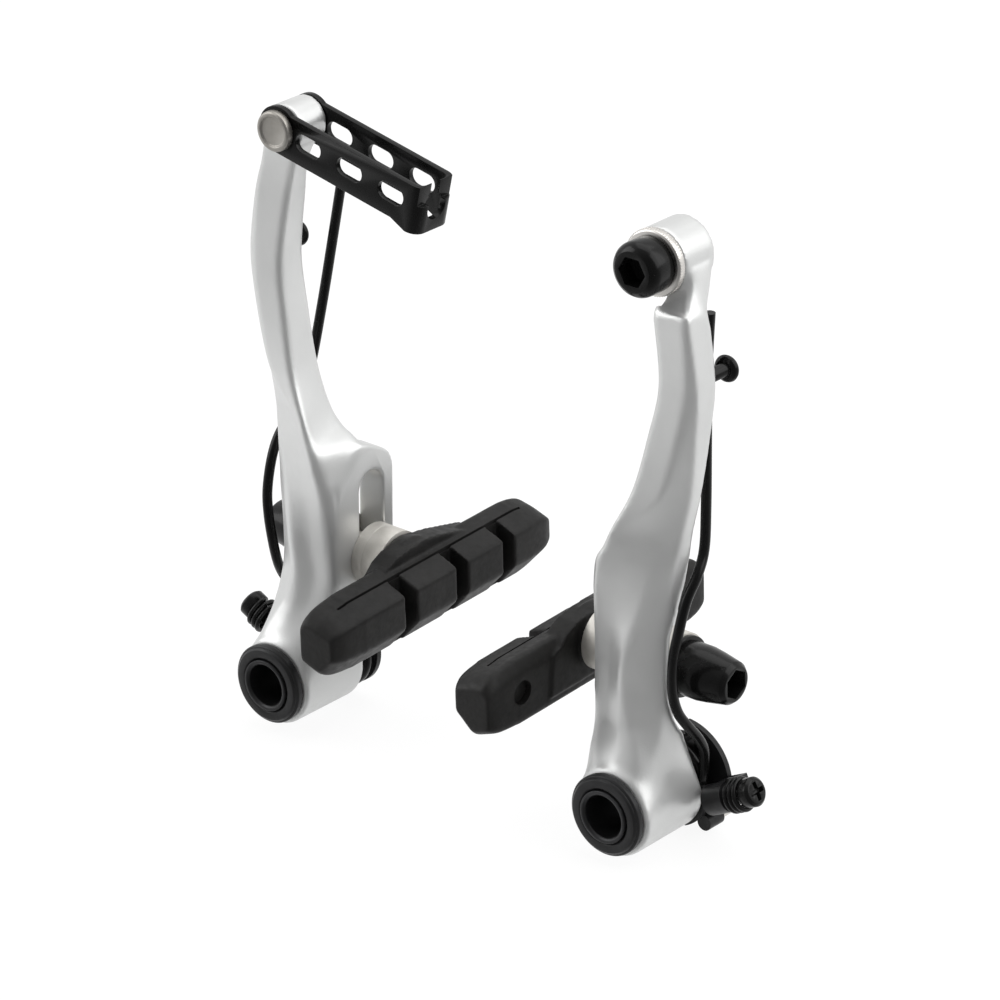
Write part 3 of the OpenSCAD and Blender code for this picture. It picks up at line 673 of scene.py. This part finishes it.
def slot_cutters(place):
    """The shoe's slot, and the pockets behind it that let its washers slide."""
    reach, step = 3.2, 0.9
    low, high = SLOT_LOW - reach, SLOT_HIGH + reach
    x = EAR_OUTER
    return [
        long_hole(SLOT_W, SLOT_LOW, SLOT_HIGH, x - 8, EAR_FACE + 1, place),
        long_hole(POCKET_W, low, high, x - 7, x, place),
        long_hole(INNER_POCKET_W, low + step, high - step, x - 20, x - 6.9, place),
    ]


def finishing_cutters(side, place):
    """The ear's flat face, which the washers bear on, and the bores."""
    boss_front = BOSS[side][2]
    hook_x, hook_y, hook_z = HOOK
    bore_place = place @ along_y(BOSS_X, boss_front - 2, BORE_Z[side])
    face = [(-16, 8), (4, 8), (4, 46), (-16, 46)]
    return [
        prism_x(face, EAR_FACE - 0.02, EAR_FACE + 3, place),
        lathe("bore", rod(BUSH_R + 0.05, 30), place @ along_y(0, -30, 0), 96),
        lathe("bore", rod(HOOK_BORE_R, 9), place @ along_y(hook_x, hook_y - 3, hook_z), 48),
        lathe("bore", rod(BOSS_BORE_R, 12), bore_place, 64),
    ]


def arm(side):
    """The forged arm: joined, cut, eased as a whole, then bored and faced."""
    place = SIDES[side]
    boss_r, boss_len, boss_front, boss_z = BOSS[side]
    body = arm_blank(side, place)
    boss = lathe("boss", rod(boss_r, boss_len), place @ along_y(BOSS_X, boss_front, boss_z), 96)
    combined(body, [ear_plate(place), pivot_hub(place), boss], "UNION")
    cuts = slot_cutters(place)
    flows = ARM_FLOWS
    if side == "right":
        spot = rod(SPOT_R, SPOT_LEN)
        spot_place = place @ along_y(BOSS_X, boss_front - SPOT_LEN, boss_z)
        cuts.append(lathe("spot", spot, spot_place, 96))
        flows = ARM_FLOWS + ANCHOR_FLOWS
    combined(body, cuts, "DIFFERENCE")
    softened(body, 0.36, 6)
    for x, depth, z, reach, rounds in flows:
        eased(body, place @ Vector((x, RING_FRONT + depth, z)), reach, rounds)
    combined(body, finishing_cutters(side, place), "DIFFERENCE")
    settle(body, 50)
    return dressed(body, side + "_arm_body", LOOK["arm_metal"], "arm_metal", side + "_arm")


for side in SIDES:
    arm(side)


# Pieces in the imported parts' own shapes

# Node ending: body, finish and edge width in millimetres
PLAIN = {
    "bush": ("mounting", "bush_steel", 0.15),
    "spring_holder": ("mounting", "black_plastic", 0.15),
    "stopper_pin": ("mounting", "pin_steel", 0.15),
    "adjuster_screw": ("{}_screw", "black_steel", 0.12),
    "hook_pin": ("{}_arm_body", "black_steel", 0.1),
    "shoe_post": ("{}_shoe", "washer_steel", 0.1),
    "shoe_nut": ("{}_shoe", "black_steel", 0.2),
    "inner_dome": ("{}_dome_pair", "washer_steel", 0.3),
    "outer_dome": ("{}_dome_pair", "washer_steel", 0.3),
    "inner_cup": ("{}_cup_pair", "washer_steel", 0.25),
    "outer_cup": ("{}_cup_pair", "washer_steel", 0.25),
    "flat_washer": ("{}_cup_pair", "black_steel", 0.15),
}


def front_ring(side):
    """A dust ring with a stepped rim and a flat face."""
    profile = [
        (5.05, 0), (7.45, 0), (7.65, 0.2), (7.65, 1.25), (7.35, 1.5), (7.2, 1.5), (7.2, 1.62),
        (6.85, 1.97), (5.45, 1.97), (5.05, 1.6),
    ]
    forwards = Matrix.Translation((0, RING_BACK, 0)) @ Matrix.Rotation(math.pi / 2, 4, "X")
    ring = lathe(side + "_front_ring_piece", profile, SIDES[side] @ forwards, 128, 25)
    bevelled(ring, 0.06, 2, 25)
    name = side + "_front_ring"
    return dressed(ring, "mounting", LOOK["black_plastic"], "black_plastic", name)


for side in SIDES:
    front_ring(side)
    for kind, (body, look, width) in PLAIN.items():
        node = side + "_" + kind
        dressed(refined_node(node, width), body.format(side), LOOK[look], look, node)


# Springs and coils

# Legs of the return springs, as points of x, depth and height: the part that both share, then the
# part behind the hook pin, and the same part standing free
LEG_LOW = [
    (-7.0, 19.7, 4), (-7.6, 18.9, 8), (-7.8, 16.9, 11.4), (-7.5, 14.0, 15), (-7.0, 11.8, 18.4),
    (-6.9, 10.4, 23), (-7.4, 9.8, 29), (-8.0, 10.3, 34), (-8.3, 12.1, 40), (-8.5, 14.8, 44),
]
LEG_HOOKED = [(-7.8, 17.6, 48), (-7.4, 18.4, 56), (-7.1, 18.6, 68), (-6.8, 18.8, 81), (-7.2, 18.8, 91.5)]
LEG_LOOSE = [(-7.2, 17.8, 48), (-5.2, 19.4, 56), (-3.7, 21.2, 68), (-2.4, 23.0, 81), (-1.4, 24.4, 91.5)]


def return_spring(side):
    """One turn round the bush, then the long leg up the arm."""
    steps, rise, coil_end = 48, 1.9, -2.1
    points = []
    for i in range(steps + 1):
        a = math.radians(180 + 360 * (1 - i / steps))
        y = coil_end - rise * i / steps
        points.append((COIL_R * math.cos(a), y, -COIL_R * math.sin(a)))
    leg = LEG_LOW + (LEG_LOOSE if side == "left" else LEG_HOOKED)
    points += [(x, RING_FRONT + d, z) for x, d, z in flowing(leg, 6)]
    finish = LOOK["black_steel"]
    piece = wire(side + "_return_spring_piece", points, WIRE_D, SIDES[side], finish)
    return dressed(piece, side + "_arm_body", finish, "black_steel", side + "_return_spring")


def adjuster_axis(side):
    """The adjuster screw's own frame, with +Z from the lug to the screw's head."""
    return SIDES[side] @ Matrix.Translation(ADJUSTER) @ Matrix.Rotation(math.radians(-63), 4, "Y")


def adjuster_coil(side):
    """The small spring between the lug and the screw's head."""
    turns, steps, coil_wire, r = 3, 32, 1.0, 2.8
    start, room, play = 2.05, 4.2, 0.02
    first = start + coil_wire / 2 + play
    pitch = (room - coil_wire - 2 * play) / turns
    points = []
    for i in range(turns * steps + 1):
        a = 2 * math.pi * i / steps
        points.append((r * math.cos(a), r * math.sin(a), first + pitch * i / steps))
    finish = LOOK["black_steel"]
    name = side + "_adjuster_coil"
    piece = wire(name + "_piece", points, coil_wire * 0.96, adjuster_axis(side), finish, 16)
    return dressed(piece, "mounting", finish, "black_steel", name)


# Shoes

# The shoe in its own frame, with its post's axis along X
SHOE_FRONT, SHOE_BACK = 29.5, 32.0
BACK_X, PAD_X = 9.4, 20.4
CARRIER_X, LIP_X = BACK_X + 1.2, PAD_X - 4.6
TOP_Z, LOW_Z = 2.6, -11.0
DROP, FACE_H, BEVEL_H = 4.2, 6.6, 1.8
GROOVE_W = 3.2
GROOVE_SPOTS = (-9.1, 5.2, 18.4)
# Section of the shoe, from the carrier to the braking face
PAD_OUTLINE = [
    (CARRIER_X, LOW_Z + 2.2), (CARRIER_X, TOP_Z - 1.4), (CARRIER_X + 1.6, TOP_Z + 0.8), (LIP_X, TOP_Z),
    (PAD_X, TOP_Z - BEVEL_H), (PAD_X, TOP_Z - BEVEL_H - FACE_H), (LIP_X, LOW_Z),
]
PAD_CORNER_R = [1, 1, 0.8, 0.5, 0.6, 0.8, 1]
# Along the shoe: place, share of the full section and how far it draws back
PAD_ROWS = [
    [-SHOE_FRONT, 0.6, 0.4], [-SHOE_FRONT + 1, 0.76, 0.3], [-SHOE_FRONT + 3.2, 0.9, 0.1],
    [-SHOE_FRONT + 7.5, 0.98, 0], [-SHOE_FRONT + 12, 1, 0], [SHOE_BACK - 12, 1, 0],
    [SHOE_BACK - 6, 0.98, 0], [SHOE_BACK - 2.6, 0.88, 0.1], [SHOE_BACK - 0.8, 0.72, 0.3],
    [SHOE_BACK, 0.6, 0.4],
]
# The carrier's thicker back, as (y, z) points
HUMP = [
    (-13.5, -7), (-12.5, 1), (-10.4, 2), (-8.4, 3.8), (-6, 4.9), (-2, 5.5), (2, 5.5), (6, 4.8),
    (16, 2.2), (16, -7),
]


def shoe_place(side):
    """The shoe's own frame: its post's axis runs along X through the ear's middle plane."""
    middle = (EAR_FACE - EAR_T / 2, POST_Y, SHOE_HEIGHT)
    tilt = Matrix.Rotation(math.radians(SHOE_TILT), 4, "X")
    return SIDES[side] @ Matrix.Translation(middle) @ tilt


def block(x, y, z, place):
    """A box between pairs of coordinates."""
    outline = [(y[0], z[0]), (y[1], z[0]), (y[1], z[1]), (y[0], z[1])]
    return prism_x(outline, x[0], x[1], place)


def shoe_pad(side):
    """The moulded shoe: grooved blocks on a carrier, with a bore for its post."""
    place = shoe_place(side)
    core_x = PAD_X - 5
    rings = []
    for y, pull, shift in flowing(PAD_ROWS, 5):
        ring = []
        for x, z in rounded(PAD_OUTLINE, PAD_CORNER_R, 4):
            x = core_x + (x - core_x) * (0.4 + 0.6 * pull) - shift
            ring.append((x, y, -DROP + (z + DROP) * pull))
        rings.append(ring)
    pad = loft(side + "_shoe_pad_piece", rings, place)
    hump = prism_x(HUMP, CARRIER_X - 0.4, LIP_X - 1.2, place)
    boss_profile = [(0, 0), (5.2, 0), (5.6, 0.4), (6.1, 3.4), (0, 5)]
    boss = lathe("boss", boss_profile, place @ along_x(BACK_X, 0, 0), 64)
    combined(pad, [hump, boss], "UNION")
    cuts = [
        block((LIP_X, PAD_X + 3), (y - GROOVE_W / 2, y + GROOVE_W / 2), (LOW_Z - 1, TOP_Z + 3), place)
        for y in GROOVE_SPOTS
    ]
    combined(pad, cuts, "DIFFERENCE")
    softened(pad, 0.3, 3)
    # Parting line between carrier and blocks, above and below, and the round recess in the back
    lines = [
        block((LIP_X - 0.25, LIP_X + 0.25), (-24, 27), (z0, z1), place)
        for z0, z1 in ((TOP_Z - 0.7, TOP_Z + 4), (LOW_Z - 3, LOW_Z + 0.6))
    ]
    recess = lathe("recess", rod(2.3, 3.5), place @ along_x(BACK_X - 1, -20.8, -2.8), 48)
    bore = lathe("bore", rod(3.02, 3.6), place @ along_x(BACK_X - 0.5, 0, 0), 48)
    combined(pad, [*lines, recess, bore], "DIFFERENCE")
    settle(pad, 45)
    return dressed(pad, side + "_shoe", LOOK["shoe_rubber"], "shoe_rubber", side + "_shoe_pad")


for side in SIDES:
    return_spring(side)
    adjuster_coil(side)
    shoe_pad(side)


# Link and cable anchor

# Ridges round the anchor washer's rim: how many, their circle and their size in metres
RIDGES = 72
RIDGE_CIRCLE_R = 0.00593
RIDGE_SIZE = (0.00022, 0.0002, 0.0011)


def anchor_washer():
    """The plate washer under the anchor bolt, with fine ridges round its rim."""
    washer = refined_node("anchor_washer", 0.15)
    _, _, boss_front, boss_z = BOSS["right"]
    middle = SIDES["right"] @ along_y(BOSS_X, boss_front - 0.9, boss_z)
    middle.translation *= 0.001
    washer.data.transform(middle.inverted())
    grown(
        washer, ring_of_ridges_group(), 35, count=RIDGES, radius=RIDGE_CIRCLE_R,
        ridge_size=Vector(RIDGE_SIZE), finish=LOOK["pin_steel"],
    )
    washer.data.transform(middle)
    settle(washer)
    dressed(washer, "right_arm_body", LOOK["pin_steel"], "pin_steel", "anchor_washer")


link = refined_node("cable_link", 0.3, 3)
dressed(link, "link_body", LOOK["link_black"], "link_black", "cable_link")
pin = refined_node("link_pin", 0.15)
dressed(pin, "left_arm_body", LOOK["grey_steel"], "pin_steel", "link_pin")
anchor_washer()
bolt = refined_node("anchor_bolt", 0.2)
dressed(bolt, "right_arm_body", LOOK["black_steel"], "black_steel", "anchor_bolt")


# Floor, light and camera

FLOOR_Z = CAD_BOX[0].z - 0.0002
# Share of the white that the camera sees on the floor, which leaves a faint shadow
FLOOR_GLOW = 0.88
# Direction of the room's dark side, behind the camera, and the room's tones as (place, tone) from
# the opposite side to that one
DARK_SIDE = (0.64, -0.77, 0)
ROOM_TONES = ((0.0, 0.90), (0.47, 1.0), (0.60, 0.60), (0.95, 0.20))


def pale_floor():
    """A pale floor that goes over into the white background."""
    size = 6.0
    mesh = bpy.data.meshes.new("floor")
    corners = [(-size, -size), (size, -size), (size, size), (-size, size)]
    mesh.from_pydata([(x, y, FLOOR_Z) for x, y in corners], [], [(0, 1, 2, 3)])
    obj = bpy.data.objects.new("floor", mesh)
    bpy.context.scene.collection.objects.link(obj)
    material = bpy.data.materials.new("pale_floor")
    material.use_nodes = True
    nodes, links = material.node_tree.nodes, material.node_tree.links
    shader = nodes["Principled BSDF"]
    shader.inputs["Base Color"].default_value = (0.92, 0.92, 0.92, 1)
    shader.inputs["Roughness"].default_value = 0.9
    shader.inputs["Specular IOR Level"].default_value = 0.1
    glow = nodes.new("ShaderNodeEmission")
    glow.inputs["Strength"].default_value = 1.04
    path = nodes.new("ShaderNodeLightPath")
    share = nodes.new("ShaderNodeMath")
    share.operation = "MULTIPLY"
    share.inputs[1].default_value = FLOOR_GLOW
    mix = nodes.new("ShaderNodeMixShader")
    links.new(path.outputs["Is Camera Ray"], share.inputs[0])
    links.new(share.outputs[0], mix.inputs[0])
    links.new(shader.outputs[0], mix.inputs[1])
    links.new(glow.outputs[0], mix.inputs[2])
    links.new(mix.outputs[0], nodes["Material Output"].inputs["Surface"])
    mesh.materials.append(material)
    obj.visible_glossy = False


def soft_box(name, place, target, size, power):
    """A rectangular lamp at a place, turned to its target."""
    lamp = bpy.data.lights.new(name, "AREA")
    lamp.shape = "RECTANGLE"
    lamp.size, lamp.size_y = size
    lamp.energy = power
    obj = bpy.data.objects.new(name, lamp)
    obj.location = place
    obj.rotation_mode = "QUATERNION"
    obj.rotation_quaternion = (Vector(target) - Vector(place)).to_track_quat("-Z", "Y")
    bpy.context.scene.collection.objects.link(obj)


def studio():
    """Two soft boxes and a top light in a room that is dark behind the camera."""
    centre = (0, 0, 0.05)
    soft_box("left_box", (-0.62, -0.42, 0.40), centre, (0.5, 0.6), 2.2)
    soft_box("right_box", (0.60, 0.24, 0.58), centre, (0.8, 0.8), 4.0)
    soft_box("top_box", (-0.1, 0.2, 1.0), centre, (0.9, 0.9), 3.0)
    world = bpy.data.worlds.new("studio")
    world.use_nodes = True
    nodes, links = world.node_tree.nodes, world.node_tree.links
    background = nodes["Background"]
    background.inputs["Strength"].default_value = 1.0
    towards = nodes.new("ShaderNodeVectorMath")
    towards.operation = "DOT_PRODUCT"
    towards.inputs[1].default_value = DARK_SIDE
    links.new(nodes.new("ShaderNodeTexCoord").outputs["Generated"], towards.inputs[0])
    share = nodes.new("ShaderNodeMapRange")
    share.inputs["From Min"].default_value = -1
    links.new(towards.outputs["Value"], share.inputs["Value"])
    room = nodes.new("ShaderNodeValToRGB")
    room.color_ramp.interpolation = "EASE"
    while len(room.color_ramp.elements) < len(ROOM_TONES):
        room.color_ramp.elements.new(0.5)
    for element, (place, tone) in zip(room.color_ramp.elements, ROOM_TONES):
        element.position = place
        element.color = (tone, tone, tone, 1)
    links.new(share.outputs[0], room.inputs["Fac"])
    path = nodes.new("ShaderNodeLightPath")
    mix = nodes.new("ShaderNodeMix")
    mix.data_type = "RGBA"
    # The colour sockets of a mix node come after its number and vector sockets
    factor, room_colour, seen_colour, result = 0, 6, 7, 2
    mix.inputs[seen_colour].default_value = (1, 1, 1, 1)
    links.new(path.outputs["Is Camera Ray"], mix.inputs[factor])
    links.new(room.outputs["Color"], mix.inputs[room_colour])
    links.new(mix.outputs[result], background.inputs["Color"])
    bpy.context.scene.world = world


def photo_camera():
    """The photograph's viewing angle: azimuth 40, elevation 24.5, from 890 mm."""
    azimuth, elevation, distance = math.radians(40), math.radians(24.5), 0.890
    target = Vector((0.0042, -0.00915, 0.04545))
    back = Vector(
        (
            math.sin(azimuth) * math.cos(elevation),
            -math.cos(azimuth) * math.cos(elevation),
            math.sin(elevation),
        )
    )
    data = bpy.data.cameras.new("camera")
    data.sensor_width = 36
    data.lens = 180.4
    data.clip_start = 0.05
    data.clip_end = 20
    cam = bpy.data.objects.new("camera", data)
    cam.location = target + back * distance
    cam.rotation_mode = "QUATERNION"
    cam.rotation_quaternion = (-back).to_track_quat("-Z", "Y")
    bpy.context.scene.collection.objects.link(cam)
    bpy.context.scene.camera = cam


pale_floor()
studio()
photo_camera()
bpy.context.scene.view_settings.view_transform = "Standard"
